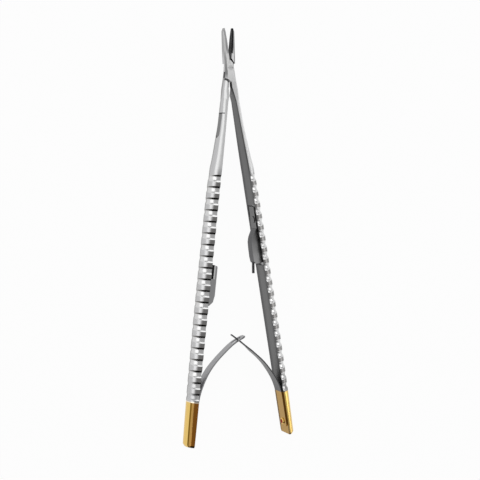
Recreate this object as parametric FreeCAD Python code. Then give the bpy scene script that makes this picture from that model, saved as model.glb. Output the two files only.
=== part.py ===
# Surgical needle holder with round grooved handles, a lap joint, a two-leaf spring and a sprung lock.
# Millimetres, +Z up. The tool lies on a table with its jaws towards +Y and its handles spread in X.
import math
import os

import FreeCAD
import Part

V = FreeCAD.Vector
os.makedirs("parts", exist_ok=True)

# Whole tool, measured from the pivot axis along each arm
TIP_REACH = 15.2
ARM_END = 146.0
HANDLE_WIDTH = 8.0
HALF_OPEN = 7.91
CLOSING = 11.4
FLAT_OFFSET = 0.45
RUN_GAP = 0.12
FRONT_GAP = 0.35
REAR_GAP = 0.28
LAP_GAP = 0.02
ROOM = 6.0

# Jaw and joint blank of the arm whose jaw lies at -X: outline seen from above
JAW_LEAN = HALF_OPEN - CLOSING / 2
JAW_NOSE = 1.1
JAW_OUTER = [(0.00, TIP_REACH), (-0.50, TIP_REACH - JAW_NOSE), (-0.84, 11.3), (-1.08, 9.0), (-1.54, 5.0), (-1.78, 2.4)]
LAP_LEFT = [(-2.30, -1.07), (-3.00, -3.41), (-1.91, -4.11), (-0.64, -5.36)]
LAP_RIGHT = [(1.56, -6.2), (1.47, -4.0), (1.45, -1.6), (1.47, 1.43)]
SHOULDER_ROOT = 3.3
JOINT_END = 14.0
JOINT_OUTER = [(1.44, -JOINT_END), (1.55, -12.0), (1.66, -8.5)]
ROOT_LINE = [(-0.80, -7.3), (-0.52, -9.2)]
INNER_LINE = [(-0.05, -13.0), (0.06, -21.0), (0.22, -30.5), (FLAT_OFFSET, -42.0)]

# Half height of jaw and joint at stations along the arm
HALF_HEIGHT = [(TIP_REACH, 0.55), (TIP_REACH - JAW_NOSE, 0.84), (11.3, 1.28), (9.0, 1.45), (5.0, 1.62), (0.0, 1.85),
               (-6.0, 2.12), (-12.0, 2.45), (-JOINT_END, 2.48)]

# Edges taken off jaw and joint: run across and run down
JAW_EDGE = (0.62, 0.5)
LAP_EDGE = (0.3, 0.25)
LAP_LEFT_EDGE = [(0.85, 0.6), (1.2, 0.8)]
JOINT_EDGE = [(1.47, 1.9, 0.3, 0.35), (1.47, 1.43, 0.3, 0.35), (1.45, -1.6, 0.35, 0.4), (1.47, -4.0, 0.45, 0.5),
              (1.66, -8.5, 0.62, 0.65), (1.55, -12.0, 0.85, 0.85), (1.44, -JOINT_END, 1.15, 1.2)]

# Half-round shank and handle: distance along the arm, thickness away from the flat, half width
NOSE = 0.8
NOSE_DROP = 0.56
NOSE_SLIM = 0.4
SHANK_SECTIONS = [(5.5, 0.95, 1.95), (9.0, 1.15, 2.18), (12.0, 1.36, 2.40), (15.0, 1.47, 2.62), (19.0, 1.44, 2.84),
                  (22.5, 1.50, 3.03), (25.0, 1.66, 3.18), (28.0, 1.93, 3.36), (31.0, 2.18, 3.54), (34.0, 2.44, 3.69),
                  (36.5, 2.74, 3.82), (39.6, 3.08, 3.95)]
# Handle: distance along the arm, how much less than half round its section is
HANDLE_SHALLOWER = [(43.5, 0.66), (49.0, 0.5), (61.0, 0.38), (80.0, 0.3), (105.0, 0.3), (117.0, 0.4),
                    (ARM_END - 17.0, 0.58), (ARM_END - 10.0, 0.74), (ARM_END - NOSE, 1.02)]
HANDLE_SECTIONS = [(s, HANDLE_WIDTH / 2 - less) for s, less in HANDLE_SHALLOWER]
FORM_INNER = 1.6

# Ring grooves: deepest at the upper corner of the handle, running out at the lower one
GROOVES = 20
GROOVE_START = 42.7
GROOVE_PITCH = 4.41
GROOVE_DEPTH = 0.25
GROOVE_CORNER = 0.5
GROOVE_SWEEP = 2.0

# Ground flat on the outside of the shank
MARK_PAD_START = 17.6
MARK_PAD_END = 25.6
MARK_PAD_OUT = (1.62, 1.97)
MARK_PAD_HALF = 1.55

# Carbide faces of the jaws
INSERT_ROOT = 5.6
INSERT_THICK = 0.55
INSERT_RELIEF = 0.012
INSERT_SEAT = 0.001
JAW_RELIEF = 0.07

# Pivot screw
SCREW_RADIUS = 1.0
SCREW_RUN = 0.04
SCREW_HEAD_RADIUS = 1.5
SCREW_HEAD_DEPTH = 0.7
SCREW_SLOT = 0.35
SCREW_SLOT_DEEP = 0.3

# Leaf springs: offset from the flat and distance before the end of the leaf's base, from the base towards the tip
LEAF_THICK = 0.5
LEAF_INSET = 3.2
LEAF_END = ARM_END - LEAF_INSET
LEAF_PATH_SLOTTED = [(0.0, 13.3), (0.62, 17.8), (1.98, 22.2), (3.8, 26.2), (6.9, 30.7), (10.4, 34.7), (13.4, 37.6),
                     (15.7, 39.2), (17.9, 40.5)]
LEAF_PATH_TONGUE = [(0.0, 13.3), (0.65, 17.8), (2.1, 21.9), (3.9, 25.6), (6.3, 29.4), (8.9, 32.6), (11.6, 35.9),
                    (14.0, 38.6), (16.6, 41.3)]
LEAF_STEPS = 14
LEAF_BASE_HALF = 2.9
LEAF_BASE_CORNER = 0.8
LEAF_BASE_LENGTH = 12.8
LEAF_NECK_HALF = 1.9
LEAF_NECK_FROM = 30.8
LEAF_SLOT = (13.0, 16.5)
LEAF_SLOT_HALF = 0.85
TONGUE_HALF = 0.6
TONGUE_TIP_HALF = 0.25
TONGUE_TIP_LENGTH = 0.4
TONGUE_SHOULDER = (9.6, 11.6)
RIVET_AT = LEAF_END - 1.9
RIVET_RADIUS = 0.8
RIVET_DEEP = 2.3
RIVET_HEAD = 1.35
RIVET_RISE = 0.5
RIVET_DIMPLE = (0.45, 0.35)

# Lock on the right arm: channel, swinging strip with its pin, block and tongue
CHANNEL_START = 53.4
CHANNEL_LENGTH = 24.0
CHANNEL_DEPTH = 1.15
CHANNEL_RIMS = (1.05, 0.7)
CHANNEL_LOW = CHANNEL_RIMS[0] - HANDLE_WIDTH / 2
CHANNEL_HIGH = HANDLE_WIDTH / 2 - CHANNEL_RIMS[1]
STRIP_FROM = CHANNEL_START + 0.7
STRIP_END = CHANNEL_START + CHANNEL_LENGTH - 1.2
STRIP_LOW = CHANNEL_LOW + 0.15
STRIP_HIGH = CHANNEL_HIGH - 1.3
STRIP_THICK = 0.95
STRIP_WAIST = 0.6
PIN_AT = CHANNEL_START + 5.8
PIN_RADIUS = 0.9
PIN_RUN = 0.03
PIN_DEEP = 2.4
PIN_HEAD_EDGE = 0.45
PIN_HEAD_RISE = 0.26
PIN_HEAD_GAP = 0.04
BLOCK_PROFILE = [(0.0, 13.6), (0.8, 12.9), (2.2, 10.6), (2.85, 8.7), (3.05, 6.4), (3.15, 2.6), (2.95, 0.6), (2.4, 0.0),
                 (0.0, 0.0)]
BLOCK_HALF = 2.0
TONGUE_SEAT = 2.4
TONGUE_REACH = 3.7
TONGUE_RISE = (2.15, 3.1)
TONGUE_THICK = 0.6
TONGUE_DEEP = 0.6

# Catch on the left arm: it meets the tongue when the tool is closed
CATCH_START = STRIP_END - 1.0
CATCH_HEIGHT = 2.95
CATCH_PROFILE = [(0.0, 0.0), (CATCH_HEIGHT - 0.15, 0.9), (CATCH_HEIGHT, 1.4), (CATCH_HEIGHT, 12.2),
                 (CATCH_HEIGHT - 0.55, 14.8), (0.9, 16.3), (0.0, 16.4)]
CATCH_HALF = 2.2
CATCH_SLOT_LOW = 0.8
CATCH_SLOT_FREE = 0.2
CATCH_SLOT_DEEP = 5.8
CATCH_PINS = (8.6, 13.0)
CATCH_PIN_RADIUS = 0.7
CATCH_PIN_DEEP = 2.2


def prism(points, low, high):
    # Outline in the XY plane raised from low to high
    corners = [V(x, y, low) for x, y in points]
    face = Part.Face(Part.makePolygon(corners + corners[:1]))
    return face.extrude(V(0, 0, high - low))


def side_prism(points, left, right):
    # Outline in the YZ plane carried from left to right
    corners = [V(left, y, z) for y, z in points]
    face = Part.Face(Part.makePolygon(corners + corners[:1]))
    return face.extrude(V(right - left, 0, 0))


def turned(point, degrees):
    # Point turned about the pivot axis
    a = math.radians(degrees)
    x, y = point
    return (x * math.cos(a) - y * math.sin(a), x * math.sin(a) + y * math.cos(a))


def mate(point, closing):
    # Outline point of the other arm, seen from this arm when the tool is closed by the given angle
    x, y = point
    return turned((-x, y), closing - 2 * HALF_OPEN)


def jaw_face(y):
    # Gripping plane of the jaw
    return y * math.tan(math.radians(JAW_LEAN))


def on_arm(shape, left):
    # From the frame of one arm to the open tool
    if left:
        shape.rotate(V(0, 0, 0), V(0, 1, 0), 180)
        shape.rotate(V(0, 0, 0), V(0, 0, 1), -HALF_OPEN)
    else:
        shape.rotate(V(0, 0, 0), V(0, 0, 1), HALF_OPEN)
    return shape


def bevel(stations, sign):
    # Long wedge taken off an edge: each station is (y, edge x, edge z, run in x, run in z)
    rings = []
    for y, x, z, run_x, run_z in stations:
        grow = 0.6
        side = 1 if run_x < 0 else -1
        corner = V(x + side * grow, y, sign * (z + grow))
        slope = run_z / abs(run_x)
        foot = V(x + side * grow, y, sign * (z - run_z - grow * slope))
        head = V(x + run_x - side * grow / slope, y, sign * (z + grow))
        rings.append(Part.makePolygon([corner, foot, head, corner]))
    return Part.makeLoft(rings, True, True)


def half_height(y):
    # Half height between the stations
    for (y0, h0), (y1, h1) in zip(HALF_HEIGHT, HALF_HEIGHT[1:]):
        if y0 >= y >= y1:
            return h0 + (h1 - h0) * (y0 - y) / (y0 - y1)
    return HALF_HEIGHT[-1][1]


def blank():
    # Jaw and joint before the joint is milled
    root = (jaw_face(SHOULDER_ROOT) - JAW_RELIEF, SHOULDER_ROOT)
    tip = (jaw_face(TIP_REACH) - JAW_RELIEF, TIP_REACH)
    foot = ROOT_LINE + [INNER_LINE[0], (INNER_LINE[0][0], -JOINT_END)]
    plan = JAW_OUTER + LAP_LEFT + foot + JOINT_OUTER + LAP_RIGHT + [root, tip]
    profile = HALF_HEIGHT + [(y, -h) for y, h in reversed(HALF_HEIGHT)]
    body = prism(plan, -ROOM, ROOM).common(side_prism(profile, -ROOM, ROOM))
    ahead = (TIP_REACH + 0.8, 0.38, 0.35)
    behind = (LAP_LEFT[1][1] - 1.0, LAP_LEFT[1][0] - 0.3, half_height(LAP_LEFT[1][1] - 1.0))
    for sign in (1, -1):
        outer = [ahead + LAP_EDGE]
        for x, y in JAW_OUTER:
            edge = JAW_EDGE if y < TIP_REACH - 2 * JAW_NOSE else LAP_EDGE
            outer.append((y, x, half_height(y)) + edge)
        for (x, y), edge in zip(LAP_LEFT, LAP_LEFT_EDGE):
            outer.append((y, x, half_height(y)) + edge)
        outer.append(behind + LAP_LEFT_EDGE[-1])
        body = body.cut(bevel(outer, sign))
        runs = [(y, x, half_height(y), -across, down) for x, y, across, down in JOINT_EDGE]
        y, x, high, across, down = runs[-1]
        runs.append((y - 1.0, x, high, across, down))
        body = body.cut(bevel(runs, sign))
    return body


def half_round(s, thick, half):
    # Half-round section on the flat, with the stock inside the flat still on
    inner = FLAT_OFFSET - FORM_INNER
    curve = Part.Ellipse(V(FLAT_OFFSET, -s, half), V(FLAT_OFFSET + thick, -s, 0), V(FLAT_OFFSET, -s, 0))
    arc = Part.ArcOfEllipse(curve, 0, math.pi).toShape()
    corners = [V(FLAT_OFFSET, -s, -half), V(inner, -s, -half), V(inner, -s, half), V(FLAT_OFFSET, -s, half)]
    return Part.Wire([arc] + [Part.makeLine(a, b) for a, b in zip(corners, corners[1:])])


def groove(s, thick, up):
    # Ring cutter through the outer, upper and lower points of the handle's section
    half = HANDLE_WIDTH / 2
    outer = thick - GROOVE_DEPTH
    drop = GROOVE_CORNER / 2
    chord = half - drop
    back = (outer ** 2 + drop ** 2 - chord ** 2) / (2 * outer)
    bottom = math.hypot(back, chord)
    centre = V(FLAT_OFFSET + back, -s, -up * drop)
    return Part.makeTorus(bottom + GROOVE_SWEEP, GROOVE_SWEEP, centre, V(0, 1, 0))


def thickness(s):
    # Thickness of the handle between its sections
    for (s0, t0), (s1, t1) in zip(HANDLE_SECTIONS, HANDLE_SECTIONS[1:]):
        if s0 <= s <= s1:
            return t0 + (t1 - t0) * (s - s0) / (s1 - s0)
    return HANDLE_SECTIONS[0][1]


def handle(up):
    # Swelling half-round shank and handle with its grooves and end bevel
    half = HANDLE_WIDTH / 2
    sections = [half_round(s, thick, half) for s, thick in HANDLE_SECTIONS]
    shank = [half_round(*section) for section in SHANK_SECTIONS] + sections[:1]
    rod = Part.makeLoft(sections, True, False).fuse(Part.makeLoft(shank, True, False))
    s, thick = HANDLE_SECTIONS[-1]
    nose = half_round(ARM_END, thick - NOSE_DROP, half - NOSE_SLIM)
    rod = rod.fuse(Part.makeLoft([half_round(s, thick, half), nose], True, True))
    inner = [LAP_LEFT[-1]] + ROOT_LINE + INNER_LINE + [(FLAT_OFFSET, -ARM_END - ROOM), (-ROOM, -ARM_END - ROOM)]
    rod = rod.cut(prism(inner + [(-ROOM, LAP_LEFT[-1][1])], -ROOM, ROOM))
    for k in range(GROOVES):
        s = GROOVE_START + k * GROOVE_PITCH
        rod = rod.cut(groove(s, thickness(s), up))
    return rod


def joint_pocket():
    # Room for the other arm's half of the joint from open to closed
    front = [mate((jaw_face(SHOULDER_ROOT), SHOULDER_ROOT), CLOSING), mate(LAP_RIGHT[-1], CLOSING)]
    rear = [mate(LAP_LEFT[1], 0), mate(LAP_LEFT[2], CLOSING), mate(LAP_LEFT[3], CLOSING)]
    heel = [mate(point, CLOSING) for point in ROOT_LINE + INNER_LINE[:1]]
    points = [(-ROOM, front[1][1] + FRONT_GAP), (front[1][0], front[1][1] + FRONT_GAP)]
    points += [(front[0][0], front[0][1] + FRONT_GAP), (ROOM, front[0][1] + FRONT_GAP)]
    points += [(ROOM, rear[0][1] - REAR_GAP), (rear[0][0], rear[0][1] - REAR_GAP)]
    points += [(x + RUN_GAP, y - REAR_GAP) for x, y in rear[1:]]
    points += [(x + RUN_GAP, y) for x, y in heel]
    points.append((-ROOM, heel[-1][1]))
    return prism(points, -ROOM, LAP_GAP)


def insert_seat(grow):
    # Carbide block let into the gripping side of the jaw
    y0 = INSERT_ROOT - grow
    y1 = TIP_REACH + grow * 10
    inner = INSERT_RELIEF - grow * 10
    points = [(jaw_face(y0) - INSERT_THICK, y0), (jaw_face(y0) - inner, y0)]
    points += [(jaw_face(y1) - inner, y1), (jaw_face(y1) - INSERT_THICK, y1)]
    return prism(points, -ROOM, ROOM)


def jaw_insert():
    # Carbide face trimmed to the height of the jaw
    top = HALF_HEIGHT[:6]
    profile = top + [(y, -h) for y, h in reversed(top)]
    return insert_seat(0).common(side_prism(profile, -ROOM, ROOM))


def screw_shape(grow, up):
    # Countersunk pivot screw standing on its head, with room around it when grown
    under = half_height(0)
    radius = SCREW_RADIUS + grow
    head = SCREW_HEAD_RADIUS + grow
    shaft = Part.makeCylinder(radius, under + up, V(0, 0, -under))
    cone = Part.makeCone(head, radius, SCREW_HEAD_DEPTH, V(0, 0, -under))
    if grow:
        cone = cone.fuse(Part.makeCylinder(head, 1, V(0, 0, -under - 1)))
    return shaft.fuse(cone)


def mark_pad():
    # Shallow ground flat on the outside of the shank, square above and round below
    half = MARK_PAD_HALF
    first, last = MARK_PAD_OUT
    foot = -MARK_PAD_END - half
    wedge = prism([(first, -MARK_PAD_START), (last, foot), (ROOM, foot), (ROOM, -MARK_PAD_START)], -half, half)
    box = Part.makeBox(ROOM, MARK_PAD_END - MARK_PAD_START, 2 * half, V(0, -MARK_PAD_END, -half))
    end = Part.makeCylinder(half, ROOM, V(0, -MARK_PAD_END, 0), V(1, 0, 0))
    return wedge.common(box.fuse(end))


def screw_hole(s, radius):
    # Hole square to the flat
    return Part.makeCylinder(radius, 2 * ROOM, V(FLAT_OFFSET - ROOM, -s, 0), V(1, 0, 0))


def arm(up):
    # Arm with its jaw, half joint, shank and handle
    body = blank().fuse(handle(up)).removeSplitter()
    body = body.cut(joint_pocket())
    return body.cut(insert_seat(INSERT_SEAT))


def latch_channel():
    # Channel in the flat for the swinging strip
    wide = CHANNEL_HIGH - CHANNEL_LOW
    corner = V(FLAT_OFFSET - 1, -CHANNEL_START - CHANNEL_LENGTH, CHANNEL_LOW)
    return Part.makeBox(CHANNEL_DEPTH + 1, CHANNEL_LENGTH, wide, corner)


def blind_hole(s, radius, deep):
    # Hole from the flat into the handle
    return Part.makeCylinder(radius, deep + 1, V(FLAT_OFFSET - 1, -s, 0), V(1, 0, 0))


def off_flat(profile, half_low, half_high):
    # Outline given as offset from the flat and distance along the arm, carried across the flat
    points = [(FLAT_OFFSET - off, -s) for off, s in profile]
    return prism(points, half_low, half_high)


def strip():
    # Thin strip lying in the channel, narrower above its pin so that it can swing
    far = STRIP_LOW + STRIP_WAIST
    points = [(far, STRIP_FROM), (STRIP_HIGH, STRIP_FROM), (STRIP_HIGH, STRIP_END), (STRIP_LOW, STRIP_END)]
    points += [(STRIP_LOW, PIN_AT + 1.5), (far, PIN_AT - 2.5)]
    corners = [V(FLAT_OFFSET, -s, z) for z, s in points]
    face = Part.Face(Part.makePolygon(corners + corners[:1]))
    plate = face.extrude(V(STRIP_THICK, 0, 0))
    return plate.cut(screw_hole(PIN_AT, PIN_RADIUS + PIN_RUN))


def latch_block():
    # Rounded block on the strip, holding the tongue
    profile = [(off, STRIP_END - before) for off, before in BLOCK_PROFILE]
    return off_flat(profile, -BLOCK_HALF, BLOCK_HALF).cut(tongue())


def tongue():
    # Narrow tongue reaching out of the block towards the end of the handle
    low, high = TONGUE_RISE
    foot, tip = STRIP_END - TONGUE_SEAT, STRIP_END + TONGUE_REACH
    points = [(low, foot), (low + TONGUE_THICK, foot), (high + TONGUE_THICK, tip), (high, tip)]
    return off_flat(points, -TONGUE_DEEP, TONGUE_DEEP)


def latch_pin():
    # Pin the strip swings on, with a thin head
    out = V(1, 0, 0)
    shaft = Part.makeCylinder(PIN_RADIUS, PIN_DEEP + PIN_HEAD_RISE, V(FLAT_OFFSET - PIN_HEAD_RISE, -PIN_AT, 0), out)
    thick = PIN_HEAD_RISE - PIN_HEAD_GAP
    head = Part.makeCylinder(PIN_RADIUS + PIN_HEAD_EDGE, thick, V(FLAT_OFFSET - PIN_HEAD_RISE, -PIN_AT, 0), out)
    return shaft.fuse(head).removeSplitter()


def catch_block():
    # Slotted catch standing on the flat
    profile = [(off, CATCH_START + s) for off, s in CATCH_PROFILE]
    block = off_flat(profile, -CATCH_HALF, CATCH_HALF)
    low, high = CATCH_SLOT_LOW, CATCH_SLOT_LOW + TONGUE_THICK + CATCH_SLOT_FREE
    above, below = CATCH_START - 1, CATCH_START + CATCH_SLOT_DEEP
    slot = [(low, above), (high, above), (high, below), (low, below)]
    block = block.cut(off_flat(slot, -CATCH_HALF - 1, CATCH_HALF + 1))
    for s in CATCH_PINS:
        block = block.cut(screw_hole(CATCH_START + s, CATCH_PIN_RADIUS))
    return block


def catch_pin(s):
    # Flush pin through the catch into the handle
    low = V(FLAT_OFFSET - CATCH_HEIGHT, -CATCH_START - s, 0)
    return Part.makeCylinder(CATCH_PIN_RADIUS, CATCH_HEIGHT + CATCH_PIN_DEEP, low, V(1, 0, 0))


def leaf_sheet(path):
    # Bowed sheet of full width, base flat on the handle
    start = V(0, 1, 0)
    lower = [V(FLAT_OFFSET - off, before - LEAF_END, 0) for off, before in path]
    curve = Part.BSplineCurve()
    curve.interpolate(Points=lower, InitialTangent=start)
    first, last = curve.FirstParameter, curve.LastParameter
    upper = []
    for k in range(LEAF_STEPS + 1):
        u = first + (last - first) * k / LEAF_STEPS
        t = curve.tangent(u)[0]
        upper.append(curve.value(u) + V(-t.y, t.x, 0) * LEAF_THICK)
    top = Part.BSplineCurve()
    top.interpolate(Points=upper, InitialTangent=start)
    end = V(FLAT_OFFSET, -LEAF_END, 0)
    raised = V(FLAT_OFFSET - LEAF_THICK, -LEAF_END, 0)
    edges = [Part.makeLine(end, lower[0]), curve.toShape(), Part.makeLine(lower[-1], upper[-1])]
    edges += [top.toShape(), Part.makeLine(upper[0], raised), Part.makeLine(raised, end)]
    face = Part.Face(Part.Wire(edges))
    return face.extrude(V(0, 0, 2 * LEAF_BASE_HALF)).translate(V(0, 0, -LEAF_BASE_HALF))


def leaf_waist():
    # Width of the leaf from its rounded base to its neck, seen along the opening direction
    end = -LEAF_END
    half = [(end, LEAF_BASE_HALF - LEAF_BASE_CORNER), (end + LEAF_BASE_CORNER, LEAF_BASE_HALF)]
    half += [(end + LEAF_BASE_LENGTH, LEAF_BASE_HALF), (end + LEAF_NECK_FROM, LEAF_NECK_HALF)]
    half += [(end + LEAF_NECK_FROM * 2, LEAF_NECK_HALF)]
    return side_prism(half + [(y, -z) for y, z in reversed(half)], -5 * ROOM, ROOM)


def leaf_front(half):
    # Cutter across the leaf, seen along the handle: (offset, height) corners
    corners = [V(FLAT_OFFSET - off, -LEAF_END, z) for off, z in half]
    face = Part.Face(Part.makePolygon(corners + corners[:1]))
    return face.extrude(V(0, 2 * LEAF_NECK_FROM, 0))


def slotted_leaf():
    # Leaf with a round end and a slot for the other one
    sheet = leaf_sheet(LEAF_PATH_SLOTTED).common(leaf_waist())
    tip = LEAF_PATH_SLOTTED[-1][0] + LEAF_THICK
    centre = tip - LEAF_NECK_HALF
    front = leaf_front([(centre, -ROOM), (centre, ROOM), (tip + 1, ROOM), (tip + 1, -ROOM)])
    middle = V(FLAT_OFFSET - centre, -LEAF_END, 0)
    sheet = sheet.cut(front.cut(Part.makeCylinder(LEAF_NECK_HALF, 2 * LEAF_NECK_FROM, middle, V(0, 1, 0))))
    low, high = LEAF_SLOT
    half = LEAF_SLOT_HALF
    sheet = sheet.cut(leaf_front([(low, -half), (low, half), (high, half), (high, -half)]))
    return sheet.cut(screw_hole(RIVET_AT, RIVET_RADIUS))


def tongued_leaf():
    # Leaf that ends in a narrow tongue
    sheet = leaf_sheet(LEAF_PATH_TONGUE).common(leaf_waist())
    low, high = TONGUE_SHOULDER
    tip = LEAF_PATH_TONGUE[-1][0] + LEAF_THICK
    side = [(low, ROOM), (low, LEAF_NECK_HALF), (high, TONGUE_HALF), (tip - TONGUE_TIP_LENGTH, TONGUE_HALF)]
    side += [(tip, TONGUE_TIP_HALF), (tip + 1, TONGUE_TIP_HALF), (tip + 1, ROOM)]
    for sign in (1, -1):
        sheet = sheet.cut(leaf_front([(off, sign * z) for off, z in side]))
    return sheet.cut(screw_hole(RIVET_AT, RIVET_RADIUS))


def leaf_screw():
    # Rivet with a low domed head on the leaf
    top = FLAT_OFFSET - LEAF_THICK
    shaft = Part.makeCylinder(RIVET_RADIUS, RIVET_DEEP + LEAF_THICK, V(top, -RIVET_AT, 0), V(1, 0, 0))
    head = Part.makeCylinder(RIVET_HEAD, RIVET_RISE, V(top, -RIVET_AT, 0), V(-1, 0, 0))
    rim = [e for e in head.Edges if e.BoundBox.XMax < top - RIVET_RISE / 2 and e.Closed]
    head = head.makeFillet(RIVET_RISE * 0.7, rim)
    wide, deep = RIVET_DIMPLE
    dimple = Part.makeCone(0.0, wide, deep, V(top - RIVET_RISE + deep, -RIVET_AT, 0), V(-1, 0, 0))
    return shaft.fuse(head).cut(dimple).removeSplitter()


def slot_cut(top):
    # Screwdriver slot across the pivot screw
    deep = SCREW_SLOT_DEEP
    low = top - deep if top > 0 else top - 1
    return Part.makeBox(ROOM, SCREW_SLOT, deep + 1, V(-ROOM / 2, -SCREW_SLOT / 2, low))


def left_arm():
    # Arm with the catch
    body = arm(-1).cut(mark_pad())
    body = body.cut(screw_shape(SCREW_RUN, 1).rotate(V(0, 0, 0), V(0, 1, 0), 180))
    for s in CATCH_PINS:
        body = body.cut(blind_hole(CATCH_START + s, CATCH_PIN_RADIUS, CATCH_PIN_DEEP))
    return body.cut(blind_hole(RIVET_AT, RIVET_RADIUS, RIVET_DEEP))


def right_arm():
    # Arm with the channel of the lock
    body = arm(1).cut(latch_channel())
    body = body.cut(Part.makeCylinder(SCREW_RADIUS, 2 * ROOM, V(0, 0, -ROOM)))
    body = body.cut(blind_hole(PIN_AT, PIN_RADIUS, PIN_DEEP))
    return body.cut(blind_hole(RIVET_AT, RIVET_RADIUS, RIVET_DEEP))


def pivot_screw():
    # Screw with its head on the lower arm and its slotted end level with the upper one
    body = screw_shape(0, half_height(0))
    return body.cut(slot_cut(half_height(0))).cut(slot_cut(SCREW_SLOT_DEEP - half_height(0)))


def parts():
    # Every piece in the open tool: name, shape, on the left arm or not
    pieces = [("arm_left", left_arm(), True), ("arm_right", right_arm(), False)]
    pieces += [("jaw_insert_right", jaw_insert(), True), ("jaw_insert_left", jaw_insert(), False)]
    pieces += [("leaf_spring_left", slotted_leaf(), True), ("leaf_spring_right", tongued_leaf(), False)]
    pieces += [("leaf_rivet_left", leaf_screw(), True), ("leaf_rivet_right", leaf_screw(), False)]
    pieces += [("catch_block", catch_block(), True)]
    pieces += [("catch_pin_upper", catch_pin(CATCH_PINS[0]), True), ("catch_pin_lower", catch_pin(CATCH_PINS[1]), True)]
    pieces += [("latch_strip", strip(), False), ("latch_block", latch_block(), False)]
    pieces += [("latch_tongue", tongue(), False), ("latch_pin", latch_pin(), False)]
    placed = [(name, on_arm(shape, left)) for name, shape, left in pieces]
    placed.append(("pivot_screw", on_arm(pivot_screw(), False)))
    return placed


def centred(placed):
    # Origin under the middle of the whole tool, on the table
    box = FreeCAD.BoundBox()
    for name, shape in placed:
        box.add(shape.optimalBoundingBox())
    move = V(-box.Center.x, -box.Center.y, -box.ZMin)
    for name, shape in placed:
        shape.translate(move)
    return move


placed = parts()
shift = centred(placed)
for name, shape in placed:
    shape.exportStep("parts/" + name + ".step")
    print(name, shape.isValid(), len(shape.Solids), len(shape.Faces), round(shape.Volume, 2))
print("pivot at", shift)
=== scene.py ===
# A surgical needle holder lying open on a pale table: looks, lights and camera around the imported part.
import math

import bpy
from mathutils import Matrix, Vector


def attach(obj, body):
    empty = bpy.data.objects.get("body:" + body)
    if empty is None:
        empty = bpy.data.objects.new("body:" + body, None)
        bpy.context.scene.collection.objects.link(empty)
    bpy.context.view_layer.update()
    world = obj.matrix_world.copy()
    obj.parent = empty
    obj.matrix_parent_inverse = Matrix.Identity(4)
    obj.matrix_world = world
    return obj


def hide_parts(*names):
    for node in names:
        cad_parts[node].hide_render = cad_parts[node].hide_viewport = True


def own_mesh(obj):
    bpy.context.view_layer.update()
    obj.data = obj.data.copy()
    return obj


MM = 0.001

# Places on the tool, in the part's frame
PIVOT = Vector((0.0, 0.0647072, 0.004))
HALF_OPEN = math.radians(7.91)
JAW_LEAN = math.radians(2.21)
FLAT_OFFSET = 0.45 * MM
GOLD_FROM = 128.35 * MM
GROOVE_FIRST = 42.7 * MM
GROOVE_STEP = 4.41 * MM
GROOVE_SWEEP = 2.0 * MM
GROOVE_DROP = 0.25 * MM
GROOVES_END = 128.2 * MM
RIM_RADIUS = 4 * MM
PAD_FROM = 17.6 * MM
PAD_TO = 25.6 * MM
PAD_HALF = 1.55 * MM
PAD_OUT = 1.62 * MM
PAD_SLOPE = 0.0366
PAD_STEP_HALF = 0.16 * MM
BLOCK_FROM = 64.0 * MM
BLOCK_TO = 75.0 * MM
BLOCK_HALF = 1.9 * MM
CATCH_MOUTH = (72.0 * MM, 81.1 * MM)
CATCH_SLOT = (0.72 * MM, 1.63 * MM)
CATCH_LIP = (1.66 * MM, 2.15 * MM)
RIVET_DOWN = 140.9 * MM
RIVET_HOLLOW = 0.9 * MM
# lower edge of the painted shade line on the right leaf's gold
LEAF_SHADE_EDGE = -1.8 * MM
KNURL_PER_M = 2600.0
KNURL_DEPTH = 0.02 * MM
GRIND_DEPTH = 0.004 * MM
WELD = 0.001 * MM

# Inner side of an arm: start, lean under the joint, then its steps outward, each from, to and by
INNER_START = -0.8 * MM
INNER_LEAN = (5.36 * MM, 7.3 * MM, 0.16 * MM)
INNER_STEPS = [(7.3 * MM, 9.2 * MM, 0.28 * MM), (9.2 * MM, 13.0 * MM, 0.47 * MM), (13.0 * MM, 21.0 * MM, 0.11 * MM),
               (21.0 * MM, 30.5 * MM, 0.16 * MM), (30.5 * MM, 42.0 * MM, 0.23 * MM)]
INNER_FROM = 5.4 * MM
HEEL = (7.3 * MM, 10.5 * MM, 1.15 * MM)

# Walls of the lap joint: share of away, share of down, distance, half width of the painted shade line
FRONT_WALL = (0.765, 0.644, -2.253 * MM, 0.05 * MM)
SLANT_WALL = (0.644, 0.765, 4.562 * MM, 0.16 * MM)
REAR_WALL = (0.0, 1.0, 4.379 * MM, 0.16 * MM)
OUTER_WALL = (0.958, 0.2866, -1.897 * MM, 0.05 * MM)

# Centre of a ring groove behind the flat, and how it moves along the handle: from, to and by
RING_START = -0.72 * MM
RING_STEPS = [(43.5 * MM, 61 * MM, 0.33 * MM), (61 * MM, 80 * MM, 0.09 * MM), (105 * MM, 120 * MM, -0.12 * MM)]

# Lap and shank: height of the upper side at the pivot and how it rises along the arm
LAP_HEIGHT = 1.85 * MM
LAP_RISE = 0.045
SHANK_RISE = 0.04

# Heights of the painted reflection bands and painted shade on the gold round, and the width of the painted
# highlight where the gold begins
GOLD_REFLECTION_HEIGHTS = (2.3 * MM, 2.85 * MM, 2.95 * MM, 3.4 * MM, 3.5 * MM)
GOLD_HIGHLIGHT_WIDTH = 0.4 * MM
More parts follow.
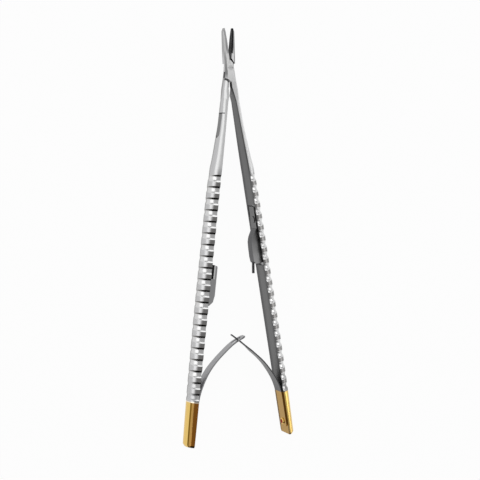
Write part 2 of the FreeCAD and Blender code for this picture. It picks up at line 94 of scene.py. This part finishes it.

# Colours, as they look in plain light; several stand in for light and are marked as painted highlight, painted
# reflection or painted shade
STEEL = (0.60, 0.60, 0.605)
# painted highlight of the polished grooves
GROOVE_HIGHLIGHT = (0.76, 0.76, 0.76)
# pale steel: the screw's own colour, and a painted highlight on the shank's upper side
PALE_STEEL_AND_SHEEN = (0.84, 0.84, 0.84)
# painted highlight, on the lap's upper side and on the catch's lip
WHITE_HIGHLIGHT = (0.95, 0.95, 0.95)
# painted shade on the grooves' upper walls
GROOVE_WALL_SHADE = (0.07, 0.065, 0.06)
PAD_GREY = (0.22, 0.22, 0.22)
# painted shade on the inner flat
FLAT_SHADE_DARK = (0.115, 0.115, 0.117)
FLAT_SHADE_PALE = (0.19, 0.19, 0.191)
# painted shade on the joint's bevels
BEVEL_SHADE_GREY = (0.25, 0.25, 0.25)
# painted shade grey, on the handles' lands, the left arm's lower side and the groove walls
LAND_SHADE_GREY = (0.30, 0.295, 0.29)
JAW_GREY = (0.42, 0.42, 0.42)
GOLD = (0.90, 0.62, 0.19)
# painted highlight, painted reflections and painted shade on the gold
GOLD_EDGE_HIGHLIGHT = (1.0, 0.88, 0.70)
GOLD_LINE_SHADE = (0.17, 0.09, 0.01)
GOLD_DIM_REFLECTION = (0.33, 0.19, 0.055)
GOLD_DEEP_REFLECTION = (0.36, 0.14, 0.02)
GOLD_BROWN_SHADE = (0.50, 0.30, 0.08)
# near-black: the carbide's dark tone deepened by painted shade, and painted shade in the joint's gaps, on the jaw
# line, in the catch's slot and under the pad's step
CARBIDE_AND_SHADE_BLACK = (0.02, 0.02, 0.022)
LEAF_GREY = (0.40, 0.40, 0.41)
# painted shade on the right leaf
LEAF_SHADE_DARK = (0.14, 0.14, 0.143)
CATCH_GREY = (0.46, 0.46, 0.465)
# painted shade and painted light on the lock's block
LOCK_SIDE_SHADE = (0.12, 0.12, 0.124)
LOCK_TOP_SHADE = (0.22, 0.22, 0.222)
LOCK_TOP_LIT = (0.60, 0.60, 0.60)
TONGUE_DARK = (0.05, 0.05, 0.052)
RIVET_HOLLOW_SHADE = (0.35, 0.04, 0.02)

# Camera: where it looks, from which side, how far and how it is rolled
LOOK_AT = Vector((2.73 * MM, -66.26 * MM, 0.0)) + PIVOT
CAMERA_SIDE = math.radians(24.79)
CAMERA_RISE = math.radians(3.90)
CAMERA_ROLL = math.radians(-1.55)
CAMERA_FAR = 423.6 * MM
LENS_PER_WIDTH = 1089.6 / 480


class Level:
    """A number that varies over a surface, with the arithmetic a finish needs."""

    def __init__(self, finish, socket):
        self.finish = finish
        self.socket = socket

    def math(self, operation, *others):
        values = {0: self}
        for k, other in enumerate(others):
            values[k + 1] = other
        return self.finish.node("ShaderNodeMath", {"operation": operation}, values)

    def __add__(self, other):
        return self.math("ADD", other)

    __radd__ = __add__

    def __mul__(self, other):
        return self.math("MULTIPLY", other)

    __rmul__ = __mul__

    def __sub__(self, other):
        return self.math("SUBTRACT", other)

    def __rsub__(self, other):
        return self.finish.node("ShaderNodeMath", {"operation": "SUBTRACT"}, {0: other, 1: self})

    def near(self, width):
        """1 where the number is within the width of nought."""
        return 1.0 - self.math("ABSOLUTE").ramp(width, width * 1.5)

    def between(self, start, end, soft=0.02 * MM):
        """1 from start to end."""
        return self.ramp(start - soft, start) * (1.0 - self.ramp(end, end + soft))

    def ramp(self, start, end):
        """0 before start, 1 after end."""
        scaled = self * (1.0 / (end - start)) - start / (end - start)
        return self.finish.node("ShaderNodeMath", {"operation": "ADD", "use_clamp": True}, {0: scaled, 1: 0.0})


class Finish:
    """One material and its nodes."""

    def __init__(self, name):
        self.material = bpy.data.materials.new(name)
        self.material.use_nodes = True
        self.tree = self.material.node_tree
        self.tree.nodes.clear()
        self.out = self.tree.nodes.new("ShaderNodeOutputMaterial")

    def fill(self, node, values):
        for key, value in values.items():
            if value is None:
                continue
            if isinstance(value, Level):
                self.tree.links.new(value.socket, node.inputs[key])
            else:
                node.inputs[key].default_value = value

    def node(self, kind, settings=None, values=None, output=0):
        node = self.tree.nodes.new(kind)
        for key, value in (settings or {}).items():
            setattr(node, key, value)
        self.fill(node, values or {})
        return Level(self, node.outputs[output])

    def coordinates(self):
        """Place on the object."""
        return self.node("ShaderNodeTexCoord", output="Object")

    def axes(self):
        """Place on the object as three numbers."""
        place = self.coordinates()
        split = self.tree.nodes.new("ShaderNodeSeparateXYZ")
        self.tree.links.new(place.socket, split.inputs[0])
        return [Level(self, split.outputs[k]) for k in range(3)]

    def stretched(self, scale, turn=0.0):
        """Coordinates drawn out by a scale and turned about the vertical."""
        place = self.coordinates()
        return self.node("ShaderNodeMapping", None, {"Vector": place, "Rotation": (0, 0, turn), "Scale": scale})

    def noise(self, vector, detail=2.0):
        values = {"Vector": vector, "Scale": 1.0, "Detail": detail, "Roughness": 0.5}
        return self.node("ShaderNodeTexNoise", None, values)

    def mix(self, factor, first, second):
        node = self.tree.nodes.new("ShaderNodeMix")
        node.data_type = "RGBA"
        for key, value in ((0, factor), (6, first), (7, second)):
            if isinstance(value, Level):
                self.tree.links.new(value.socket, node.inputs[key])
            elif key == 0:
                node.inputs[key].default_value = value
            else:
                node.inputs[key].default_value = (*value, 1.0)
        return Level(self, node.outputs[2])

    def bump(self, height, distance):
        return self.node("ShaderNodeBump", None, {"Height": height, "Distance": distance, "Strength": 1.0})

    def surface(self, colour, roughness, metallic=1.0, normal=None):
        """The finished material."""
        values = {"Roughness": roughness, "Metallic": metallic, "Normal": normal}
        values["Base Color"] = colour if isinstance(colour, Level) else (*colour, 1.0)
        shader = self.node("ShaderNodeBsdfPrincipled", None, values)
        self.tree.links.new(shader.socket, self.out.inputs[0])
        return self.material


def along_arm(finish, side):
    """(distance away from the middle plane, distance from the pivot, height) in the frame of one arm."""
    x, y, z = finish.axes()
    y = y - PIVOT.y
    away = x * (side * math.cos(HALF_OPEN)) + y * math.sin(HALF_OPEN)
    down = x * (side * math.sin(HALF_OPEN)) - y * math.cos(HALF_OPEN)
    return away, down, z - PIVOT.z


def satin_bump(finish, side):
    """Fine lines of the grinder, along the arm."""
    grain = finish.stretched((2500.0, 120.0, 2500.0), -side * HALF_OPEN)
    return finish.bump(finish.noise(grain), GRIND_DEPTH)


def stepped(down, start, steps):
    """A start, moved by each step over its stretch of the arm."""
    for first, last, by in steps:
        start = start + down.ramp(first, last) * by
    return start


def in_groove(away, down, height):
    """(1 on the skin of a ring groove, how far along the groove's width from its middle)."""
    back = stepped(down, RING_START, RING_STEPS)
    across, rise = away - FLAT_OFFSET - back, height + GROOVE_DROP
    bottom = (back * back + (RIM_RADIUS - GROOVE_DROP) ** 2).math("SQRT")
    reach = (across * across + rise * rise).math("SQRT") - bottom - GROOVE_SWEEP
    turn = (down - (GROOVE_FIRST - GROOVE_STEP / 2)) * (1.0 / GROOVE_STEP)
    along = (turn.math("FRACT") - 0.5) * GROOVE_STEP
    skin = (reach * reach + along * along).math("SQRT") - GROOVE_SWEEP
    groove = 1.0 - skin.ramp(0.02 * MM, 0.06 * MM)
    groove = groove * down.ramp(40.6 * MM, 40.8 * MM) * (1.0 - down.ramp(GROOVES_END, GROOVES_END + 0.1 * MM))
    return groove, along


def ground_pad(away, down, height):
    """(1 on the ground flat of the left shank, 1 on the step above it)."""
    skin = (away - (PAD_OUT - PAD_FROM * PAD_SLOPE) - down * PAD_SLOPE).math("ABSOLUTE")
    below = down - PAD_TO
    below = below * below.ramp(0.0, 0.001 * MM)
    radius = (below * below + height * height).math("SQRT")
    pad = (1.0 - radius.ramp(PAD_HALF, PAD_HALF + 0.02 * MM)) * (1.0 - skin.ramp(0.03 * MM, 0.06 * MM))
    step = 1.0 - (down - PAD_FROM).math("ABSOLUTE").ramp(PAD_STEP_HALF, PAD_STEP_HALF + 0.04 * MM)
    step = step * away.ramp(0.9 * MM, 1.0 * MM)
    return pad * down.ramp(PAD_FROM - 0.05 * MM, PAD_FROM), step


def inner_side(down):
    """How far from the arm's middle line its inner side lies."""
    first, last, lean = INNER_LEAN
    return stepped(down, (1.0 - down.ramp(first, last)) * lean + INNER_START, INNER_STEPS)


def wall_line(away, down, wall):
    """1 within a wall's half width, seen from above."""
    across, along, distance, half = wall
    return (away * across + down * along - distance).near(half)


def joint_gaps(away, down, height):
    """1 on the walls that stand in the gaps of the lap joint, which are painted black as shade."""
    front = wall_line(away, down, FRONT_WALL) * down.between(-3.8 * MM, -1.7 * MM)
    slant = wall_line(away, down, SLANT_WALL) * away.between(0.3 * MM, 1.72 * MM)
    rear = wall_line(away, down, REAR_WALL) * away.ramp(1.68 * MM, 1.7 * MM)
    outer = wall_line(away, down, OUTER_WALL) * down.between(1.2 * MM, 3.4 * MM)
    outer = outer * (1.0 - height.ramp(1.2 * MM, 1.3 * MM)) * height.ramp(0.0, 0.05 * MM)
    return outer + (front + slant + rear) * (0.0 - height).ramp(0.0, 0.05 * MM)


def gold_painted_reflections(f, side, down, height, on_flat):
    """Gold plating with painted reflection bands and painted shade by height, and on the left arm a pale painted
    highlight where the gold begins.
    """
    if side > 0:
        return f.mix(on_flat, GOLD, f.mix(height.between(-3.4 * MM, 3.1 * MM), GOLD_LINE_SHADE, GOLD_BROWN_SHADE))
    line, line_end, dull, deep, top = GOLD_REFLECTION_HEIGHTS
    rim = 1.0 - (down - GOLD_FROM).ramp(GOLD_HIGHLIGHT_WIDTH, GOLD_HIGHLIGHT_WIDTH + 0.1 * MM)
    bands = f.mix(height.between(line, line_end, 0.1 * MM), GOLD, GOLD_LINE_SHADE)
    bands = f.mix(height.between(dull, deep, 0.1 * MM), bands, GOLD_DIM_REFLECTION)
    bands = f.mix(height.ramp(deep, top), bands, GOLD_DEEP_REFLECTION)
    return f.mix(rim, bands, GOLD_EDGE_HIGHLIGHT)


def inner_flat(away, down, upper):
    """1 on the inner side of the arm, also where it is set back under the other arm's lap."""
    first, last, set_back = HEEL
    heel = (0.0 - upper).ramp(-0.02 * MM, 0.0) * (1.0 - down.ramp(first, last)) * set_back
    inside = 1.0 - (away - inner_side(down) - heel).ramp(0.02 * MM, 0.04 * MM)
    return inside * down.ramp(INNER_FROM - 0.1 * MM, INNER_FROM + 0.1 * MM)


def joint_steel(f, down, height):
    """(steel of jaws and joint with painted shade on the bevels, 1 on the lap's upper side)."""
    top = LAP_HEIGHT + down * LAP_RISE
    bevel_shade = (height - top).ramp(-0.9 * MM, -0.8 * MM) * (1.0 - down.ramp(4.5 * MM, 5.0 * MM))
    tips = 1.0 - down.ramp(-7.0 * MM, -4.0 * MM)
    lap = (height - top).ramp(-0.06 * MM, -0.04 * MM) * (1.0 - down.ramp(5.0 * MM, 6.0 * MM))
    return f.mix(tips, f.mix(bevel_shade, STEEL, BEVEL_SHADE_GREY), JAW_GREY), lap * down.ramp(-8.0 * MM, -5.0 * MM)


def arm_steel(name, side):
    """Satin steel arm: polished grooves with a painted highlight, painted shade on the groove walls, lands, bevels
    and lower side, a dark inner flat painted as shade, a matt lap painted white as a highlight, and a gold-plated
    end with painted reflections.
    """
    f = Finish(name)
    away, down, height = along_arm(f, side)
    on_flat = inner_flat(away, down, height * side)
    gold = down.ramp(GOLD_FROM, GOLD_FROM + 0.2 * MM)
    groove, along = in_groove(away, down, height)
    groove = groove * (1.0 - on_flat)
    handle = down.ramp(41.0 * MM, 41.5 * MM) * (1.0 - groove)
    shank = (height - down * SHANK_RISE).ramp(1.0 * MM, 1.3 * MM) * down.between(5.0 * MM, 38.0 * MM, 3.0 * MM)
    steel, lap = joint_steel(f, down, height)
    # The grooves are painted brighter as a painted highlight; on the left arm their upper walls take painted shade,
    # from land shade grey low down to near-black higher up.
    steel = f.mix(groove, steel, GROOVE_HIGHLIGHT)
    if side < 0:
        wall = groove * (1.0 - along.ramp(-0.85 * MM, -0.6 * MM))
        steel = f.mix(wall, steel, f.mix(height.ramp(0.0, 3.0 * MM), LAND_SHADE_GREY, GROOVE_WALL_SHADE))
    # The shank's upper side is painted pale and the lap's upper side white, both painted highlights; their added
    # roughness is the real satin and matt finish.
    steel = f.mix(shank, f.mix(lap, steel, WHITE_HIGHLIGHT), PALE_STEEL_AND_SHEEN)
    if side < 0:
        # Painted shade on the upper side of the left handle's lands and along the left arm's lower side.
        under = 1.0 - height.ramp(-0.6 * MM, 0.2 * MM)
        steel = f.mix(height.ramp(2.9 * MM, 3.6 * MM) * handle + under * 0.8, steel, LAND_SHADE_GREY)
        # The ground flat is painted darker grey, and the step above it is painted black as the shadow at its foot.
        pad, step = ground_pad(away, down, height)
        steel = f.mix(step, f.mix(pad, steel, PAD_GREY), CARBIDE_AND_SHADE_BLACK)
    else:
        # Painted shade on the upper side of the right arm's handle.
        steel = f.mix(handle * height.ramp(1.0 * MM, 2.4 * MM), steel, LAND_SHADE_GREY)
    # The inner flat is painted dark as shade, paler across its middle and darker toward its edges.
    band = height.between(-1.2 * MM, 1.8 * MM, 1.5 * MM)
    steel = f.mix(on_flat, steel, f.mix(band, FLAT_SHADE_DARK, FLAT_SHADE_PALE))
    # A thin line on the jaw's inner face and the walls in the lap joint's gaps are painted black as shade.
    jaw = (away + down * math.tan(JAW_LEAN) + 0.07 * MM).near(0.03 * MM) * (1.0 - down.ramp(-1.5 * MM, -1.3 * MM))
    steel = f.mix(jaw + joint_gaps(away, down, height * side), steel, CARBIDE_AND_SHADE_BLACK)
    colour = f.mix(gold, steel, gold_painted_reflections(f, side, down, height, on_flat))
    streak = f.noise(f.stretched((900.0, 20.0, 900.0), -side * HALF_OPEN), 3.0)
    cloud = f.noise(f.stretched((160.0, 160.0, 160.0)), 3.0)
    rough = 0.27 + cloud * 0.06 - groove * 0.07 + on_flat * (0.05 + streak * 0.15) + lap * 0.3 - gold * 0.16
    metal = 1.0 - lap * 0.8 - shank * 0.2
    return f.surface(colour, rough + shank * 0.2, metal, satin_bump(f, side))


def plain_steel(name, colour, roughness):
    """Even satin steel."""
    f = Finish(name)
    cloud = f.noise(f.stretched((300.0, 300.0, 300.0)), 2.0)
    return f.surface(colour, roughness + cloud * 0.08 - 0.04, 1.0)


def catch_steel(name):
    """The catch: satin steel, painted black as shade inside its slot, with a polished lip painted white as a
    highlight.
    """
    f = Finish(name)
    away, down, _ = along_arm(f, -1)
    rise = FLAT_OFFSET - away
    mouth = down.between(*CATCH_MOUTH)
    # Painted shade in the slot, painted highlight on the lip.
    slot = rise.between(*CATCH_SLOT, 0.03 * MM) * mouth
    lip = rise.between(*CATCH_LIP, 0.05 * MM) * mouth
    colour = f.mix(slot, f.mix(lip, CATCH_GREY, WHITE_HIGHLIGHT), CARBIDE_AND_SHADE_BLACK)
    return f.surface(colour, 0.32 - lip * 0.1, 1.0 - lip * 0.8, satin_bump(f, -1))


def leaf_steel(name, side):
    """Spring steel, gold-plated with the handle's end; the plating is painted brown as shade, and the right leaf is
    painted darker than the left as shade, with a near-black shade line on its gold below its lower edge.
    """
    f = Finish(name)
    _, down, height = along_arm(f, side)
    gold = down.ramp(GOLD_FROM, GOLD_FROM + 0.2 * MM)
    shade = height.ramp(LEAF_SHADE_EDGE - 0.1 * MM, LEAF_SHADE_EDGE + 0.1 * MM)
    plating = f.mix(shade, GOLD_LINE_SHADE, GOLD_BROWN_SHADE) if side > 0 else GOLD_BROWN_SHADE
    colour = f.mix(gold, LEAF_SHADE_DARK if side > 0 else LEAF_GREY, plating)
    return f.surface(colour, 0.3 - gold * 0.12, 1.0)


def block_steel(name):
    """The lock's block: painted dark as shade on its sides, and on its top painted from shade to light toward its
    lower end.
    """
    f = Finish(name)
    _, down, height = along_arm(f, 1)
    top = f.mix(down.ramp(BLOCK_FROM, BLOCK_TO), LOCK_TOP_SHADE, LOCK_TOP_LIT)
    return f.surface(f.mix(height.ramp(BLOCK_HALF, BLOCK_HALF + 0.07 * MM), LOCK_SIDE_SHADE, top), 0.35)


def carbide(name, side):
    """Carbide with a gripping face in a fine crossed pattern, painted near-black: the carbide's own dark tone
    deepened by painted shade. On the left jaw it has a steel-coloured edge.
    """
    f = Finish(name)
    _, y, z = f.axes()
    away, down, _ = along_arm(f, side)
    face = (away + down * math.tan(JAW_LEAN)).ramp(-0.05 * MM, -0.03 * MM)
    rise = (y + z) * KNURL_PER_M * math.tau
    fall = (y - z) * KNURL_PER_M * math.tau
    relief = rise.math("SINE") * fall.math("SINE") * face
    # The gripping face, and all of the right insert, are painted near-black, partly as painted shade.
    edge = STEEL if side > 0 else CARBIDE_AND_SHADE_BLACK
    return f.surface(f.mix(face, edge, CARBIDE_AND_SHADE_BLACK), 0.3 + face * 0.15, 1.0, f.bump(relief, KNURL_DEPTH))


def gold_rivet(name, side):
    """Gold-plated rivet with painted dark-red shade in the hollow of its head."""
    f = Finish(name)
    _, down, height = along_arm(f, side)
    offset = down - RIVET_DOWN
    radius = (offset * offset + height * height).math("SQRT")
    dark = 1.0 - radius.ramp(RIVET_HOLLOW, RIVET_HOLLOW + 0.1 * MM)
    return f.surface(f.mix(dark, GOLD, RIVET_HOLLOW_SHADE), 0.2 + dark * 0.3)


def paint(node, material):
    """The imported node's own slots take the material."""
    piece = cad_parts[node]
    if not piece.material_slots:
        piece.data.materials.append(material)
    for place in piece.material_slots:
        place.material = material


def pick(piece):
    """Only this piece is selected and active."""
    bpy.ops.object.select_all(action="DESELECT")
    piece.select_set(True)
    bpy.context.view_layer.objects.active = piece


def soft_copy(node, name, material):
    """A welded, smooth-shaded copy of a packed leaf spring."""
    pick(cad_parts[node])
    bpy.ops.object.duplicate()
    copy = bpy.context.view_layer.objects.active
    copy.name = name
    copy.data.name = name
    bpy.ops.object.mode_set(mode="EDIT")
    bpy.ops.mesh.select_all(action="SELECT")
    bpy.ops.mesh.remove_doubles(threshold=WELD)
    bpy.ops.object.mode_set(mode="OBJECT")
    bpy.ops.object.shade_smooth_by_angle(angle=math.radians(35))
    copy.data.materials.clear()
    copy.data.materials.append(material)
    return copy


def bending_leaf(node, name, body, material):
    """The shown leaf spring: a welded copy in place of the packed one, attached to its arm's body."""
    leaf = soft_copy(node, name, material)
    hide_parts(node)
    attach(leaf, body)
    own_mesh(leaf)


def table_top():
    """Pale table that stays white in the picture and in reflections, and takes a soft shadow."""
    bpy.ops.mesh.primitive_plane_add(size=6.0, location=(0, 0, 0))
    top = bpy.context.active_object
    top.name = "table_top"
    f = Finish("table_white")
    path = f.tree.nodes.new("ShaderNodeLightPath")
    seen = [Level(f, path.outputs[k]) for k in ("Is Camera Ray", "Is Glossy Ray", "Is Transmission Ray")]
    plain = f.node("ShaderNodeBsdfDiffuse", None, {"Color": (0.86, 0.86, 0.86, 1.0)})
    glow = f.node("ShaderNodeEmission", None, {"Color": (1.0, 1.0, 1.0, 1.0), "Strength": 1.0})
    share = seen[0] * 0.96 + seen[1] * 0.7 + seen[2] * 0.7
    blend = f.node("ShaderNodeMixShader", None, {0: share, 1: plain, 2: glow})
    f.tree.links.new(blend.socket, f.out.inputs[0])
    top.data.materials.append(f.material)


def dark_card():
    """Black card standing behind the handles' ends, which the grooves' upper walls mirror."""
    bpy.ops.mesh.primitive_plane_add(size=1.0, location=(0, -0.9, 0.45), rotation=(math.pi / 2, 0, 0))
    card = bpy.context.active_object
    card.name = "dark_card"
    card.scale = (2.4, 0.9, 1.0)
    bpy.ops.object.transform_apply(location=True, rotation=True, scale=True)
    card.data.materials.append(Finish("card_black").surface((0.01, 0.01, 0.01), 1.0, 0.0))


def sky(strength):
    """Even pale light from all round."""
    world = bpy.data.worlds.new("studio")
    bpy.context.scene.world = world
    world.use_nodes = True
    back = world.node_tree.nodes["Background"]
    back.inputs["Color"].default_value = (1.0, 1.0, 1.0, 1.0)
    back.inputs["Strength"].default_value = strength


def lamp(name, place, aim, size, power):
    """Soft rectangular lamp at a place, turned to an aim."""
    bpy.ops.object.light_add(type="AREA", location=place)
    light = bpy.context.active_object
    light.name = name
    light.data.shape = "RECTANGLE"
    light.data.size, light.data.size_y = size
    light.data.energy = power
    light.rotation_euler = (Vector(aim) - Vector(place)).to_track_quat("-Z", "Y").to_euler()


def camera():
    """The photograph's view."""
    a, e, roll = CAMERA_SIDE, CAMERA_RISE, CAMERA_ROLL
    back = Vector((-math.sin(a) * math.cos(e), math.sin(e), math.cos(a) * math.cos(e)))
    up = (Vector((0, 1, 0)) - back * math.sin(e)).normalized()
    right = up.cross(back)
    right, up = right * math.cos(roll) + up * math.sin(roll), up * math.cos(roll) - right * math.sin(roll)
    bpy.ops.object.camera_add()
    eye = bpy.context.active_object
    turn = Matrix((right, up, back)).transposed().to_4x4()
    eye.matrix_world = Matrix.Translation(LOOK_AT + back * CAMERA_FAR) @ turn
    eye.data.sensor_width = 36.0
    eye.data.lens = 36.0 * LENS_PER_WIDTH
    eye.data.clip_start = 0.01
    bpy.context.scene.camera = eye


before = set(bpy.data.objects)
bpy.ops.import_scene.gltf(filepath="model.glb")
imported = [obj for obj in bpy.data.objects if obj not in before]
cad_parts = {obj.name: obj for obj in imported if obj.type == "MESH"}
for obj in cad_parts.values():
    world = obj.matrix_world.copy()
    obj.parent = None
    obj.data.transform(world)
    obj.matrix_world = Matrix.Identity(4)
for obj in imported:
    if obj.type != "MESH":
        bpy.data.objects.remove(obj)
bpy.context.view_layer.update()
bpy.context.scene.view_settings.view_transform = "Standard"

paint("arm_left", arm_steel("left_arm_steel", -1))
paint("arm_right", arm_steel("right_arm_steel", 1))
paint("jaw_insert_left", carbide("left_jaw_carbide", 1))
paint("jaw_insert_right", carbide("right_jaw_carbide", -1))
paint("pivot_screw", plain_steel("screw_steel", PALE_STEEL_AND_SHEEN, 0.5))
paint("catch_block", catch_steel("catch_steel"))
paint("catch_pin_upper", plain_steel("upper_pin_steel", STEEL, 0.3))
paint("catch_pin_lower", plain_steel("lower_pin_steel", STEEL, 0.3))
# The latch strip and its pin take the inner flat's paler painted shade.
paint("latch_strip", plain_steel("strip_steel", FLAT_SHADE_PALE, 0.35))
paint("latch_block", block_steel("block_steel"))
paint("latch_tongue", plain_steel("tongue_steel", TONGUE_DARK, 0.3))
paint("latch_pin", plain_steel("latch_pin_steel", FLAT_SHADE_PALE, 0.35))
paint("leaf_rivet_left", gold_rivet("left_rivet_gold", -1))
paint("leaf_rivet_right", gold_rivet("right_rivet_gold", 1))
bending_leaf("leaf_spring_left", "slotted_leaf", "left_arm", leaf_steel("slotted_leaf_steel", -1))
bending_leaf("leaf_spring_right", "tongued_leaf", "right_arm", leaf_steel("tongued_leaf_steel", 1))

table_top()
dark_card()
sky(0.45)
lamp("left_panel", (-1.4, 0.25, 0.54), (0, 0, 0), (2.2, 1.15), 7.5)
lamp("far_panel", (0.3, 1.3, 0.55), (0, 0, 0), (1.6, 1.0), 4.5)
lamp("right_panel", (1.3, 0.1, 0.55), (0, 0, 0), (0.9, 0.7), 2.5)
camera()
